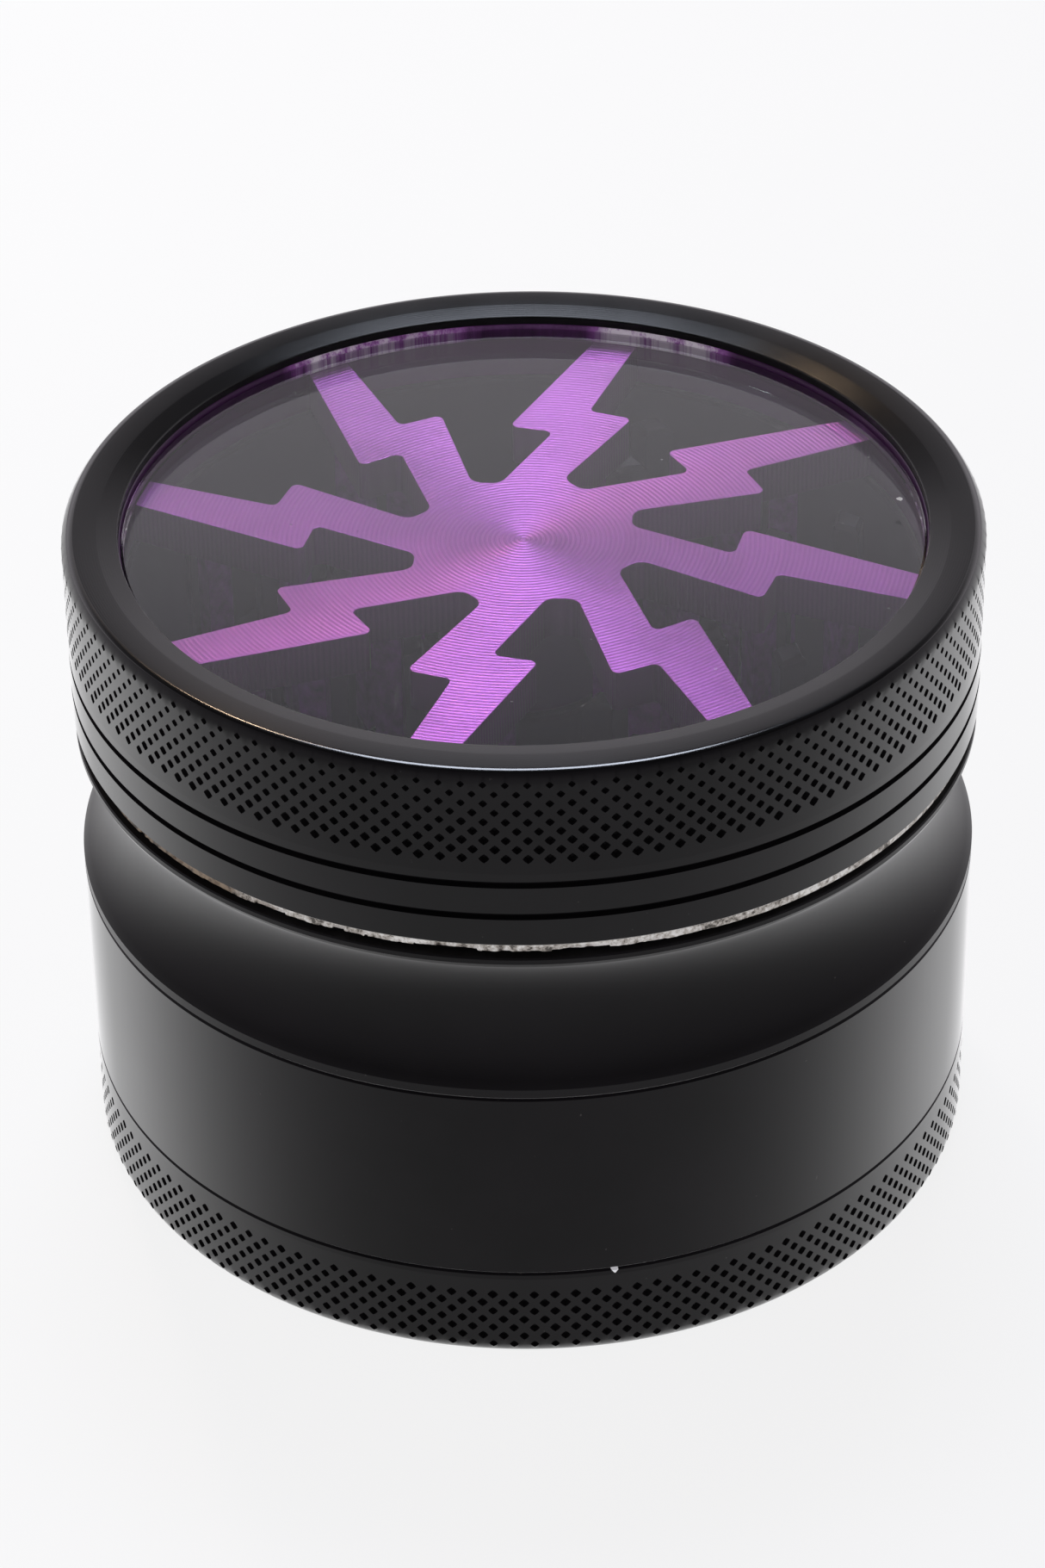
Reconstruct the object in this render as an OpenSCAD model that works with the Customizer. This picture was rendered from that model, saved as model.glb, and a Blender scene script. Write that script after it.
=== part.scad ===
// Four-part hand grinder with a windowed lid: a shallow cup, a screen chamber, a toothed grinding
// chamber and a lid ring that carries a clear window and a toothed plate.
// Millimetres, +Z up, origin at the centre of the underside. Everything turns about +Z.

/* [Stack] */
// Outside diameter of every part of the body
outer_d = 63; // [61:0.5:66]
// Height of the bottom cup, up to its joint with the screen chamber
base_h = 7.25; // [7:0.05:10]
// Height of the screen chamber's outside wall
screen_h = 15; // [12:0.5:22]
// Height of the grinding chamber's outside wall, lip to collar
grind_h = 11.5; // [11:0.1:14]
// Height of the lid ring, rim included
lid_h = 13.5; // [13:0.05:16]

/* [Body walls] */
// Wall of the screen chamber
wall = 3.5; // [2.9:0.1:3.8]
// Thickness of the bottom cup's floor
cup_floor = 1.6; // [1:0.1:2]
// Rounding of the bottom cup's lower edge
foot_round = 1; // [0.4:0.1:1.4]
// Thickness of the grinding chamber's floor
grind_floor = 3.5; // [2.5:0.1:3.8]
// How far the cove bites into the grinding chamber's side
cove_depth = 2.3; // [1.5:0.1:2.4]
// Radius of the holes that ground herb falls through
drop_r = 1.55; // [1:0.05:1.55]

/* [Threads] */
// Length of each threaded spigot
spigot_h = 4; // [3.5:0.1:4.2]
// Rise in one turn
thread_pitch = 1.6; // [1.4:0.1:2]
// How far the thread stands out of its spigot
thread_depth = 0.6; // [0.4:0.05:0.7]
// Clearance between the two threads, all round
thread_gap = 0.12; // [0.1:0.01:0.15]

/* [Lid] */
// Thickness of the friction ring's flange
ring_t = 0.6; // [0.4:0.1:1]
// Diameter of the clear window
window_d = 54.9; // [54:0.1:55.2]
// Thickness of the window
window_t = 2.25; // [1.8:0.05:2.5]
// Width of the gap round the window that its clear adhesive fills
seal_gap = 0.2; // [0.15:0.05:0.3]
// Height of the lid ring's decorative lower groove above its bottom edge
groove_low = 2.4; // [1.8:0.1:2.8]
// Height of the decorative upper groove above the same edge
groove_high = 4.9; // [3.8:0.1:5.5]

/* [Toothed plate] */
// Thickness of the plate
plate_t = 3; // [2.5:0.1:3]
// Number of arms
arms = 8; // [8:1:8]
// Angle of the first arm
arm_angle = 31; // [29:0.5:33]
// Radius of the rounded corners of the gaps between the arms
gap_round = 0.5; // [0.3:0.1:0.6]

/* [Teeth and magnets] */
// Radius of the innermost ring of teeth
first_ring_r = 8.3; // [8.2:0.05:8.4]
// Step from one ring of teeth to the next, lower and upper rings in turn
ring_step = 2.75; // [2.7:0.01:2.78]
// Half the width of a tooth across its ring
tooth_a = 1.2; // [1:0.05:1.2]
// Half the length of a tooth along its ring
tooth_b = 1.7; // [1.4:0.1:1.7]
// Diameter of each magnet
magnet_d = 8; // [6:0.5:9]
// Thickness of each magnet
magnet_t = 2; // [1.5:0.1:3]

/* [Hidden] */
$fn = 96;

R = outer_d / 2;
fit = 0.05;                                // radial clearance of turned parts that fit together
edge = 0.15;                               // small chamfer on the visible joints

// Levels, from the table up
z_cup = base_h;
z_screen = z_cup + screen_h;
z_collar = z_screen + grind_h;
z_ring = z_collar + 0.4;                   // a dark groove stays open under the friction ring
z_lid = z_ring + ring_t + fit;
z_top = z_lid + lid_h;
z_glass = z_top - 1.2;                     // top of the window
z_plate = z_glass - window_t;              // its underside, on top of the toothed plate
z_under = z_plate - plate_t;
z_bed = z_screen + 1.7;                    // underside of the grinding floor
z_floor = z_bed + grind_floor;
z_ledge = z_cup - 0.5;                     // the screen is pushed up against this
z_post = z_floor + 6.6;                    // top of the post that holds the lower magnet
z_boss = z_post + 0.5;                     // underside of the hub that holds the upper one

// Radii shared by several parts
spigot_r = R - 2.5;                        // root of the outside threads
thread_bore = spigot_r + 3 * fit;          // crest of the inside threads
spigot_bore = R - 4.4;
screen_bore = spigot_bore - 0.9;           // clear opening of the screen
chamber_r = R - 4.1;                       // bore of the grinding chamber
guide_r = R - 2.7;                         // its guide, inside the lid's skirt
skirt_r = R - 2.05;                        // bore of the lid's skirt
window_r = window_d / 2;
window_bore = window_r + seal_gap;         // bore round it, and inside of the plate's outer ring
magnet_r = magnet_d / 2;
post_r = magnet_r + 2;

// Rings of teeth: steps out from the first ring, and how many teeth or holes each has
lower_rings = [[0, 4], [2, 8], [4, 8], [6, 8]];
drop_rings = [[1, 8], [3, 16], [5, 16]];
upper_rings = [[1, 1.5], [3, -1], [5, 2.2]];   // step, and angle from the arm's own

// Outline of the gap between one arm and the next: radius, angle from the arm, corner radius
gap_outline = [[7.6, 26, 1], [8.4, 39, 1], [17.8, 32.8, gap_round], [17.8, 43.2, gap_round],
               [R - 2, 41, 0.1], [R, 22, 0.1], [R - 2, 1.7, 0.1],
               [15.2, 17.5, gap_round], [14.5, 5.3, gap_round]];

function unit(v) = v / norm(v);
function polar(r, a) = [r * cos(a), r * sin(a)];

// Points of an arc about c, from angle a0 to a1, in n steps
function arc(c, r, a0, a1, n = 8) = [for (i = [0 : n]) c + polar(r, a0 + (a1 - a0) * i / n)];

// Corner p between neighbours a and b, rounded to radius r
function corner(p, a, b, r, n = 4) =
    let (u = unit(a - p), v = unit(b - p), half = acos(u * v) / 2,
         c = p + unit(u + v) * r / sin(half),
         s = p + u * r / tan(half) - c, e = p + v * r / tan(half) - c,
         a0 = atan2(s[1], s[0]), turn = (atan2(e[1], e[0]) - a0 + 540) % 360 - 180)
    arc(c, r, a0, a0 + turn, n);

// Closed outline with every corner rounded; each entry is radius, angle, corner radius
function rounded_polar(list) =
    let (n = len(list), p = [for (q = list) polar(q[0], q[1])])
    [for (i = [0 : n - 1]) each corner(p[i], p[(i + n - 1) % n], p[(i + 1) % n], list[i][2])];

// Solid of revolution from half-section points
module turned(points) {
    rotate_extrude() polygon(points);
}

module ring(outer, inner, z0, z1) {
    difference() {
        translate([0, 0, z0]) cylinder(r = outer, h = z1 - z0);
        translate([0, 0, z0 - 1]) cylinder(r = inner, h = z1 - z0 + 2);
    }
}

// One helical rib from z0 to z1 whose angle depends only on its height above z_ref, so that the
// outside and the inside thread of one joint are in mesh. grow fattens it into a groove cutter.
module thread_rib(z_ref, z0, z1, grow = 0) {
    steps = ceil((z1 - z0) / thread_pitch * 60);
    foot_r = spigot_r - 0.3;
    crest = spigot_r + thread_depth + grow;
    root_w = thread_pitch * 0.62 + 2 * grow;
    crest_w = thread_pitch * 0.16 + 2 * grow;
    points = [for (i = [0 : steps])
        let (z = z0 + (z1 - z0) * i / steps, a = 360 * (z - z_ref) / thread_pitch,
             fade = min(1, i / 12, (steps - i) / 12),
             r = spigot_r - 0.1 + (crest - spigot_r + 0.1) * fade)
        for (q = [[foot_r, -root_w / 2], [r, -crest_w / 2], [r, crest_w / 2], [foot_r, root_w / 2]])
            [q[0] * cos(a), q[0] * sin(a), z + q[1]]];
    sides = [for (i = [0 : steps - 1], k = [0 : 3])
        let (a = 4 * i + k, b = 4 * i + (k + 1) % 4)
        each [[a, b, b + 4], [a, b + 4, a + 4]]];
    polyhedron(points, concat([[3, 2, 1, 0]], sides, [[for (k = [0 : 3]) 4 * steps + k]]));
}

// Outside thread below a joint at height z, on a hollow spigot
module threaded_spigot(z) {
    ring(spigot_r, spigot_bore, z - spigot_h, z + 1);
    intersection() {
        thread_rib(z, z - spigot_h + 0.6, z - 0.5);
        translate([0, 0, z - spigot_h]) cylinder(r = R, h = spigot_h);
    }
}

// Room for that spigot in the part below
module threaded_socket(z) {
    translate([0, 0, z - spigot_h - 0.2]) cylinder(r = thread_bore, h = spigot_h + 1);
    thread_rib(z, z - spigot_h + 0.1, z + 1.2, thread_gap);
}

// One diamond tooth on a ring of radius r at angle a, from z0 to z1
module tooth(r, a, z0, z1) {
    rotate(a) translate([r, 0, z0]) linear_extrude(z1 - z0)
        polygon([[tooth_a, 0], [0, tooth_b], [-tooth_a, 0], [0, -tooth_b]]);
}

// Shallow cup that catches what the screen lets through
module base_cup() {
    color([0.05, 0.05, 0.055]) difference() {
        turned(concat([[0, 0]],
            arc([R - foot_round, foot_round], foot_round, -90, 0),
            [[R, z_cup - edge], [R - edge, z_cup], [spigot_r - 1, z_cup],
             [spigot_r - 1, cup_floor + 1]],
            arc([spigot_r - 2, cup_floor + 1], 1, 0, -90),
            [[0, cup_floor]]));
        threaded_socket(z_cup);
    }
}

// Tube that holds the ground herb; the screen sits in its threaded spigot
module screen_chamber() {
    color([0.05, 0.05, 0.055]) difference() {
        union() {
            turned([[R - wall, z_cup + 0.5], [screen_bore, z_cup + 0.5], [screen_bore, z_ledge],
                    [spigot_r, z_ledge], [spigot_r, z_cup], [R - edge, z_cup], [R, z_cup + edge],
                    [R, z_screen - edge], [R - edge, z_screen], [R - wall, z_screen]]);
            threaded_spigot(z_cup);
        }
        threaded_socket(z_screen);
    }
}

// Fine steel screen, drawn here as a plain disc
module screen_mesh() {
    color([0.7, 0.7, 0.68]) translate([0, 0, z_ledge - 0.25])
        cylinder(r = spigot_bore - fit, h = 0.25);
}

// Ring pressed up under the screen
module screen_retaining_ring() {
    color([0.62, 0.62, 0.6]) ring(spigot_bore - fit, screen_bore, z_ledge - 1.25, z_ledge - 0.25);
}

// Coved cup with the lower teeth, the holes between them and the post for the lower magnet
module grinding_chamber() {
    lip = 0.85;
    collar = 0.5;
    cove_h = grind_h - lip - collar;
    cove_r = (cove_h * cove_h / 4 + cove_depth * cove_depth) / (2 * cove_depth);
    color([0.05, 0.05, 0.055]) {
        difference() {
            union() {
                turned([[0, z_bed], [spigot_bore, z_bed], [spigot_bore, z_screen],
                        [R - edge, z_screen], [R, z_screen + edge], [R, z_collar - collar],
                        [R - 0.1, z_collar - collar], [R - 0.1, z_collar], [R - 1.1, z_collar],
                        [R - 1.1, z_ring], [guide_r, z_ring], [guide_r, z_under - 0.5],
                        [guide_r - 0.2, z_under - 0.3], [0, z_under - 0.3]]);
                threaded_spigot(z_screen);
            }
            rotate_extrude() translate([R - cove_depth + cove_r, z_screen + lip + cove_h / 2])
                circle(r = cove_r);
            translate([0, 0, z_floor]) cylinder(r = chamber_r, h = z_top);
            for (row = drop_rings, i = [1 : row[1]])
                rotate(360 * (i - 0.5) / row[1])
                    translate([first_ring_r + row[0] * ring_step, 0, z_bed - 1])
                        cylinder(r = drop_r, h = grind_floor + 2, $fn = 32);
        }
        for (row = lower_rings, i = [1 : row[1]])
            tooth(first_ring_r + row[0] * ring_step, 360 * (i - 0.5) / row[1],
                  z_floor - 0.2, z_under - 1.6);
        difference() {
            translate([0, 0, z_floor - 0.2]) cylinder(r = post_r, h = z_post - z_floor + 0.2);
            translate([0, 0, z_post - magnet_t]) cylinder(r = magnet_r + fit, h = magnet_t + 1);
        }
    }
}

module chamber_magnet() {
    color([0.75, 0.75, 0.77]) translate([0, 0, z_post - magnet_t])
        cylinder(r = magnet_r, h = magnet_t);
}

// L-section ring that the lid turns on
module friction_ring() {
    color([0.86, 0.83, 0.8]) {
        ring(R - 0.3, guide_r + fit, z_ring, z_ring + ring_t);
        ring(skirt_r - fit, guide_r + fit, z_ring, z_ring + ring_t + 3);
    }
}

// Knurled lid ring: skirt, two grooves, rounded rim and two sloped steps down to the window
module lid_ring() {
    color([0.05, 0.05, 0.055]) difference() {
        turned(concat([[skirt_r, z_lid], [R - edge, z_lid], [R, z_lid + edge]],
            arc([R - 0.8, z_top - 0.8], 0.8, 0, 90),
            [[R - 2.4, z_top - 0.06], [window_bore, z_top - 0.35],
             [window_bore, z_plate], [skirt_r, z_plate]]));
        for (h = [groove_low, groove_high])
            ring(R + 1, R - 0.35, z_lid + h - 0.25, z_lid + h + 0.25);
    }
}

module lid_window() {
    color([0.8, 0.82, 0.85, 0.35]) translate([0, 0, z_plate]) cylinder(r = window_r, h = window_t);
}

// Ring of clear adhesive round the window's edge, standing a little proud of the window
module window_seal() {
    color([0.8, 0.8, 0.82]) ring(window_bore - 0.03, window_r + 0.03, z_plate, z_glass + 0.3);
}

// Zigzag-armed plate with the upper teeth and the hub that holds the upper magnet
module tooth_plate() {
    color([0.42, 0.2, 0.55]) {
        difference() {
            union() {
                translate([0, 0, z_under]) cylinder(r = skirt_r - 0.02, h = plate_t);
                translate([0, 0, z_boss]) cylinder(r = post_r, h = z_plate - z_boss);
            }
            intersection() {
                cylinder(r = window_bore, h = z_top);
                for (i = [0 : arms - 1])
                    rotate(arm_angle + 360 * i / arms) translate([0, 0, z_under - 1])
                        linear_extrude(plate_t + 2) polygon(rounded_polar(gap_outline));
            }
            translate([0, 0, z_boss - 1]) cylinder(r = magnet_r + fit, h = magnet_t + 1);
        }
        for (row = upper_rings, i = [0 : arms - 1])
            tooth(first_ring_r + row[0] * ring_step, arm_angle + row[1] + 360 * i / arms,
                  z_floor + 1, z_under + 0.2);
    }
}

module lid_magnet() {
    color([0.75, 0.75, 0.77]) translate([0, 0, z_boss]) cylinder(r = magnet_r, h = magnet_t);
}

base_cup();
screen_chamber();
screen_mesh();
screen_retaining_ring();
grinding_chamber();
chamber_magnet();
friction_ring();
lid_ring();
lid_window();
window_seal();
tooth_plate();
lid_magnet();
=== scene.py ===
"""Looks of the four-part hand grinder: fine meshes, materials, studio and camera.

Meshes are drawn in millimetres and scaled to metres at the end. Levels and outside radii come from
the frame; what the frame can't give, such as a thread's pitch, repeats the values of part.scad.
"""

import math

import bmesh
import bpy
import numpy as np
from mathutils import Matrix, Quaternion, Vector


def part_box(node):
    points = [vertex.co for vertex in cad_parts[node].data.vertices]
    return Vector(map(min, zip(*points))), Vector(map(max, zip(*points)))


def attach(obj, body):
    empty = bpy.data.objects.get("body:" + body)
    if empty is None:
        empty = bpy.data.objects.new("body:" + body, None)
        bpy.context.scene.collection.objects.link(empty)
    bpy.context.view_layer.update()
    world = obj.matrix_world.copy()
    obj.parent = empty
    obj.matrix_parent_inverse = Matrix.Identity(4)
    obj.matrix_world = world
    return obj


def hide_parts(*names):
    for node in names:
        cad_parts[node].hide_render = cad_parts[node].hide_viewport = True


MM = 0.001
TAU = 2 * math.pi
STEPS = 280  # steps round every turned surface, twice the pits in one row of knurling
rng = np.random.default_rng(7)

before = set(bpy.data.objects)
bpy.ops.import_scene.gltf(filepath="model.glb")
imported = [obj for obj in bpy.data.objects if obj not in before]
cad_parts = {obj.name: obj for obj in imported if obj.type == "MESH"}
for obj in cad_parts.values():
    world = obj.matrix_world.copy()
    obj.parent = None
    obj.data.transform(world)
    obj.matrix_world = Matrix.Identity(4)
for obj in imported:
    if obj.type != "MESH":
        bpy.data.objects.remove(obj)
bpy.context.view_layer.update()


def span(node):
    """Outside radius and lowest and highest level of a CAD node, in millimetres."""
    lo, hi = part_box(node)
    return hi[0] / MM, lo[2] / MM, hi[2] / MM


R, _, Z_CUP = span("base_cup")
_, Z_SPIGOT, Z_SCREEN = span("screen_chamber")
RING_R, Z_RING, _ = span("friction_ring")
_, Z_LID, Z_TOP = span("lid_ring")
WINDOW_R, _, Z_GLASS = span("lid_window")
_, _, Z_SEAL = span("window_seal")
PLATE_R, _, Z_PLATE = span("tooth_plate")
_, Z_BOSS, _ = span("lid_magnet")
_, _, Z_GUIDE = span("grinding_chamber")
MESH_R, Z_MESH, Z_LEDGE = span("screen_mesh")
MAGNET_R, _, Z_POST = span("chamber_magnet")

# The same values as in part.scad
PITCH, THREAD_DEPTH, THREAD_GAP = 1.6, 0.6, 0.12
SPIGOT_R, SPIGOT_BORE = R - 2.5, R - 4.4
THREAD_BORE = SPIGOT_R + 0.15
SPIGOT_H = Z_CUP - Z_SPIGOT
SCREEN_BORE, SCREEN_WALL = SPIGOT_BORE - 0.9, R - 3.5
CHAMBER_R, GUIDE_R, SKIRT_R = R - 4.1, R - 2.7, R - 2.05
PLATE_T = Z_PLATE - Z_GUIDE - 0.3
Z_UNDER = Z_PLATE - PLATE_T
Z_BED, Z_FLOOR = Z_SCREEN + 1.7, Z_SCREEN + 5.2
Z_COLLAR = Z_RING - 0.4
POST_R = MAGNET_R + 2
COVE_DEPTH, LIP_H, COLLAR_H = 2.3, 0.85, 0.5
WINDOW_BORE = WINDOW_R + 0.2
GROOVES = 4.9, 2.4  # the lid's two grooves, above its lower edge
EDGE = 0.15
TOOTH_A, TOOTH_B, FIRST_RING, RING_STEP = 1.2, 1.7, 8.3, 2.75
ARMS, ARM_ANGLE = 8, 31


# ---------------------------------------------------------------- mesh building

def arc(r, z, radius, start, end, n=8):
    """Points of an arc in the half-section plane, about (r, z), angles in degrees."""
    return [(r + radius * math.cos(math.radians(start + (end - start) * i / n)),
             z + radius * math.sin(math.radians(start + (end - start) * i / n)))
            for i in range(n + 1)]


class Solid:
    """Collects vertices and faces, each face with the index of its material."""

    def __init__(self):
        self.verts, self.faces, self.mats = [], [], []

    def add(self, points):
        start = len(self.verts)
        self.verts.extend(points)
        return list(range(start, len(self.verts)))

    def face(self, corners, mat=0):
        self.faces.append(tuple(corners))
        self.mats.append(mat)

    def loop(self, r, z, n=STEPS):
        """One ring of vertices; r and z may be arrays round it, or functions of the angle."""
        angle = np.arange(n) * TAU / n
        rr, zz = (np.broadcast_to(v(angle) if callable(v) else v, n) for v in (r, z))
        return self.add(zip(rr * np.cos(angle), rr * np.sin(angle), zz))

    def bridge(self, a, b, mat=0):
        """Quads between two rings, or a fan where one of them is a single vertex."""
        n = max(len(a), len(b))
        for i in range(n):
            j = (i + 1) % n
            if len(a) == 1:
                self.face((a[0], b[i], b[j]), mat)
            elif len(b) == 1:
                self.face((a[i], a[j], b[0]), mat)
            else:
                self.face((a[i], a[j], b[j], b[i]), mat)

    def turn(self, profile, mat=0, start=None, closed=False, n=STEPS):
        """Surface of revolution through profile points, each (r, z) or (r, z, material).
        The material is that of the band which ends at the point. Gives the last ring."""
        first, last = start, start
        for point in profile:
            r, z = point[:2]
            pole = np.ndim(r) == 0 and r == 0
            ring = self.add([(0, 0, z)]) if pole else self.loop(r, z, n)
            if last is not None:
                self.bridge(last, ring, point[2] if len(point) > 2 else mat)
            first = first if first is not None else ring
            last = ring
        if closed:
            self.bridge(last, first, mat)
        return last

    def prism(self, outline, z0, z1, tip=0.0, mat=0):
        """Upright prism on a convex outline; the z1 end is chamfered by tip towards its middle."""
        mid = np.mean(outline, axis=0)
        flat = lambda z, k: self.add([(*(mid + (np.array(p) - mid) * k), z) for p in outline])
        sign = 1 if z1 > z0 else -1
        rings = [flat(z0, 1.0), flat(z1 - sign * tip, 1.0), flat(z1, 0.72 if tip else 1.0)]
        for a, b in zip(rings, rings[1:]):
            self.bridge(a, b, mat)
        self.face(reversed(rings[0]), mat)
        self.face(rings[-1], mat)

    def take(self, mesh, mat=0):
        """Adds the faces of a Blender mesh drawn in millimetres, then frees it."""
        ids = self.add([tuple(v.co) for v in mesh.vertices])
        for p in mesh.polygons:
            self.face([ids[i] for i in p.vertices], mat)
        bpy.data.meshes.remove(mesh)

    def build(self, name, body, materials, replaces=(), sharp=32):
        """Makes the Blender object and tells the frame what it rides on and stands for."""
        mesh = bpy.data.meshes.new(name)
        mesh.from_pydata(np.array(self.verts) * MM, [], self.faces)
        for m in materials:
            mesh.materials.append(m)
        mesh.polygons.foreach_set("material_index", self.mats)
        bm = bmesh.new()
        bm.from_mesh(mesh)
        bmesh.ops.remove_doubles(bm, verts=bm.verts, dist=1e-7)
        bmesh.ops.recalc_face_normals(bm, faces=bm.faces)
        bm.to_mesh(mesh)
        bm.free()
        mesh.shade_smooth()
        mesh.set_sharp_from_angle(angle=math.radians(sharp))
        for p in mesh.polygons:  # level faces are shaded flat
            p.use_smooth = abs(p.normal.z) < 0.9999
        obj = bpy.data.objects.new(name, mesh)
        bpy.context.scene.collection.objects.link(obj)
        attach(obj, body)
        if replaces:
            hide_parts(*replaces)
        return obj


def flat_plate(outer, holes, z0, z1, bevel=0.0):
    """Mesh of a flat plate with holes, all outlines given as points, edges softened by bevel."""
    curve = bpy.data.curves.new("outline", "CURVE")
    curve.dimensions, curve.fill_mode = "2D", "BOTH"
    curve.extrude, curve.bevel_depth = (z1 - z0) / 2 - bevel, bevel
    curve.bevel_resolution, curve.offset = 1, -bevel
    for points in [outer, *holes]:
        spline = curve.splines.new("POLY")
        spline.points.add(len(points) - 1)
        for target, (x, y) in zip(spline.points, points):
            target.co = (x, y, 0, 1)
        spline.use_cyclic_u = True
    obj = bpy.data.objects.new("outline", curve)
    bpy.context.scene.collection.objects.link(obj)
    mesh = bpy.data.meshes.new_from_object(obj.evaluated_get(
        bpy.context.evaluated_depsgraph_get()))
    bpy.data.objects.remove(obj)
    bpy.data.curves.remove(curve)
    for v in mesh.vertices:
        v.co.z += (z0 + z1) / 2
    return mesh


def circle(r, x=0.0, y=0.0, n=STEPS):
    return [(x + r * math.cos(TAU * i / n), y + r * math.sin(TAU * i / n)) for i in range(n)]


def polar(r, degrees):
    return np.array([r * math.cos(math.radians(degrees)), r * math.sin(math.radians(degrees))])


def rounded(outline, n=5):
    """Closed outline of (radius, angle, corner radius) entries, with every corner rounded."""
    points = [polar(r, a) for r, a, _ in outline]
    result = []
    for i, p in enumerate(points):
        u, v = points[i - 1] - p, points[(i + 1) % len(points)] - p
        u, v = u / np.linalg.norm(u), v / np.linalg.norm(v)
        half = math.acos(np.dot(u, v)) / 2
        size = outline[i][2]
        if not size:
            result.append(tuple(p))
            continue
        centre = p + (u + v) / np.linalg.norm(u + v) * size / math.sin(half)
        start, end = (p + w * size / math.tan(half) - centre for w in (u, v))
        a0 = math.atan2(start[1], start[0])
        sweep = (math.atan2(end[1], end[0]) - a0 + 3 * math.pi) % TAU - math.pi
        result += [tuple(centre + polar(size, math.degrees(a0 + sweep * k / n)))
                   for k in range(n + 1)]
    return result


def meets_circle(p, q, r):
    """Angle in degrees of the point where the line from p out to q crosses the circle r."""
    d = q - p
    a, b, c = d @ d, 2 * p @ d, p @ p - r * r
    hit = p + d * (-b + math.sqrt(b * b - 4 * a * c)) / (2 * a)
    return math.degrees(math.atan2(hit[1], hit[0]))


def tooth_outline(r, angle):
    """Diamond outline of a tooth on a ring of radius r."""
    out, along = polar(1, angle), polar(1, angle + 90)
    return [out * (r + TOOTH_A), out * r + along * TOOTH_B,
            out * (r - TOOTH_A), out * r - along * TOOTH_B]


def thread(base, depth, z, z_ref, grow=0.0, fade=1.0):
    """Radius function of a screw thread at level z: ribs of height depth on a wall of radius
    base, or grooves of that depth in it. grow widens them."""
    def radius(angle):
        phase = ((z - z_ref) / PITCH - angle / TAU) % 1
        off = np.minimum(phase, 1 - phase) * PITCH
        return base + depth * fade * np.clip((PITCH * 0.31 + grow - off) / (PITCH * 0.23), 0, 1)
    return radius


def outside_thread(z_joint):
    """Profile of a threaded spigot's outside, from the joint down."""
    points = []
    for z in np.arange(z_joint - 0.1, z_joint - SPIGOT_H + 0.25, -0.08):
        fade = min(1, (z_joint - 0.25 - z) / 0.6, (z - z_joint + SPIGOT_H - 0.2) / 0.6)
        points.append((thread(SPIGOT_R, THREAD_DEPTH, z, z_joint, fade=max(0, fade)), z))
    return points


def inside_thread(z_joint):
    """Profile of the matching socket's wall, from its mouth down."""
    depth = SPIGOT_R + THREAD_DEPTH + THREAD_GAP - THREAD_BORE
    return [(thread(THREAD_BORE, depth, z, z_joint, grow=THREAD_GAP), z)
            for z in np.arange(z_joint - EDGE, z_joint - SPIGOT_H + 0.1, -0.08)]


def knurl(solid, levels, sizes, wall, depth=0.34, mat=0, pit_mat=0):
    """Band of knurled pits, each row offset half a pit from the next. levels and sizes give each
    row's height and relative size, wall(z) the surface's radius. Gives the lower and upper ring."""
    n, rows = STEPS // 2, len(levels)
    step = levels[1] - levels[0]
    z_of = lambda j: levels[0] + step * j
    place = lambda x, z, inset=0.0: (
        (wall(z) - inset) * math.cos(TAU * x / n), (wall(z) - inset) * math.sin(TAU * x / n), z)
    # Corners of the diamond cells, and the middles of their sides
    corner = {j: solid.add([place(i + 0.5 * ((j + 1) % 2), z_of(j)) for i in range(n)])
              for j in range(-1, rows + 1)}
    middle = {j: solid.add([place((2 * k + 1) / 4, z_of(j + 0.5)) for k in range(2 * n)])
              for j in range(-1, rows)}
    corner_at = lambda j, x2: corner[j][(x2 // 2) % n]
    middle_at = lambda j, k: middle[j][k % (2 * n)]
    for j in range(rows):
        size = sizes[j]
        for i in range(n):
            x2 = 2 * i + j % 2
            cell = [corner_at(j, x2 + 1), middle_at(j, x2), corner_at(j + 1, x2),
                    middle_at(j, x2 - 1), corner_at(j, x2 - 1), middle_at(j - 1, x2 - 1),
                    corner_at(j - 1, x2), middle_at(j - 1, x2)]
            rings = [cell]
            jitter = rng.uniform(0.93, 1.05)
            for reach, inset in ((1, 0), (0.86, 0.3), (0.4, 0.9)):
                points = []
                for k in range(8):  # a diamond with blunt corners
                    radius = (0.36 if k % 2 == 0 else 0.29) * size * reach * jitter
                    across = radius * math.cos(TAU * k / 8) / (TAU * R / n)
                    points.append(place(x2 / 2 + across,
                                        z_of(j) + radius * math.sin(TAU * k / 8),
                                        inset * depth * size))
                rings.append(solid.add(points))
            solid.bridge(rings[0], rings[1], mat)
            solid.bridge(rings[1], rings[2], pit_mat)
            solid.bridge(rings[2], rings[3], pit_mat)
            solid.face(rings[3], pit_mat)
    ends = []
    for j, inner, gap in ((-1, 0, -1), (rows, rows - 1, rows - 1)):
        parity = (j + 1) % 2
        extra = solid.add([place(i + 0.5 * (1 - parity), z_of(j)) for i in range(n)])
        edge = [None] * (2 * n)
        for i in range(n):
            edge[(2 * i + parity) % (2 * n)] = corner[j][i]
            edge[(2 * i + 1 - parity) % (2 * n)] = extra[i]
        for i in range(n):
            x2 = 2 * i + parity
            solid.face((edge[x2 % (2 * n)], edge[(x2 + 1) % (2 * n)], edge[(x2 + 2) % (2 * n)],
                        middle_at(gap, x2 + 1), corner_at(inner, x2 + 1), middle_at(gap, x2)), mat)
        ends.append(edge)
    return ends


# ---------------------------------------------------------------- materials

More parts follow.
